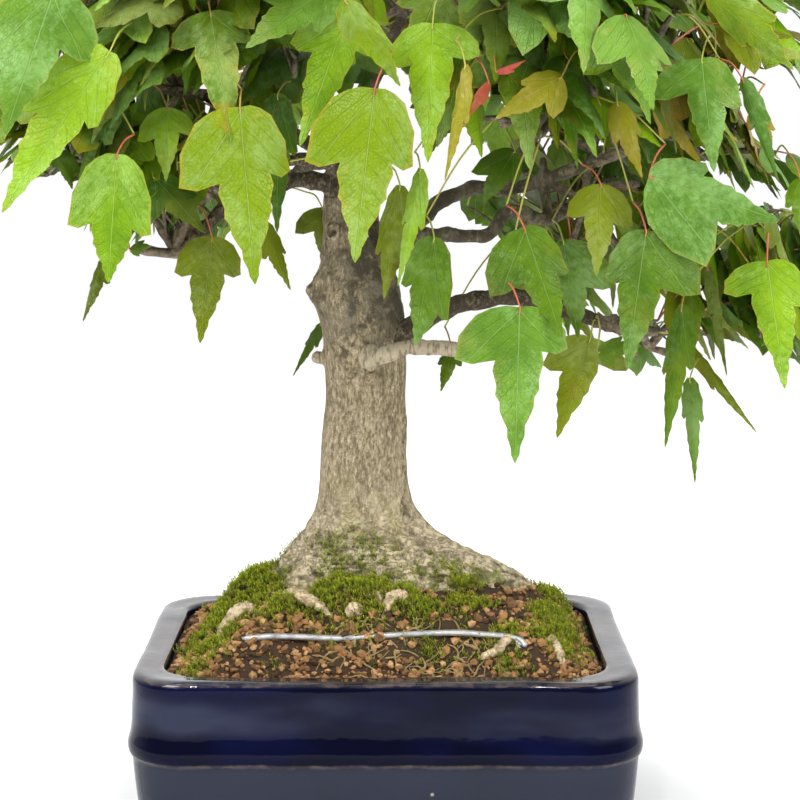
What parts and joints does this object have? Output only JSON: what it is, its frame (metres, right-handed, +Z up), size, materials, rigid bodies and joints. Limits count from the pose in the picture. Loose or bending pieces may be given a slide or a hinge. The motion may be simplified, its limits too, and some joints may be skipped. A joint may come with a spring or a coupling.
{
  "type": "potted bonsai tree",
  "caption": "Small potted maple tree with a flared trunk, spreading boughs and masses of three-lobed leaves, in a rounded rectangular glazed pot.",
  "frame": {"origin": "middle of the pot's flat underside, where it stands", "axes": "+Z up, X along the pot's long side, -Y towards the viewer at the tree's front"},
  "size_m": [0.3439, 0.2845, 0.4105],
  "materials": {
    "pot_glaze": "glossy dark cobalt glaze",
    "soil": "matt red-brown baked clay grains",
    "moss": "matt moss",
    "bark": "smooth beige-grey bark",
    "bough_bark": "brown bark",
    "root_bark": "pale bark",
    "tie": "dulled wire",
    "leaves": "satin green leaves"
  },
  "bodies": {
    "root": {"pot": "pot_glaze", "soil_mound": "soil", "moss_left": "moss", "moss_front": "moss", "moss_right": "moss", "trunk": "bark", "leader": "bough_bark", "bough_low_front": "bough_bark", "bough_low_right": "bough_bark", "bough_mid_right": "bough_bark", "bough_high_right": "bough_bark", "bough_left_low": "bough_bark", "bough_left_back": "bough_bark", "bough_back": "bough_bark", "bough_left": "bough_bark", "bough_left_front": "bough_bark", "bough_top_right": "bough_bark", "bough_top_back": "bough_bark", "bough_right_front": "bough_bark", "surface_root_front": "root_bark", "surface_root_left": "root_bark", "surface_root_right": "root_bark", "tie_wire": "tie", "foliage_left_low": "leaves", "foliage_left_high": "leaves", "foliage_left_front": "leaves", "foliage_left_back": "leaves", "foliage_top": "leaves", "foliage_top_right": "leaves", "foliage_top_back": "leaves", "foliage_right_front": "leaves", "foliage_right_low_front": "leaves", "foliage_right_high": "leaves", "foliage_right_low": "leaves", "foliage_right_back": "leaves", "foliage_back": "leaves"}
  },
  "joints": []
}
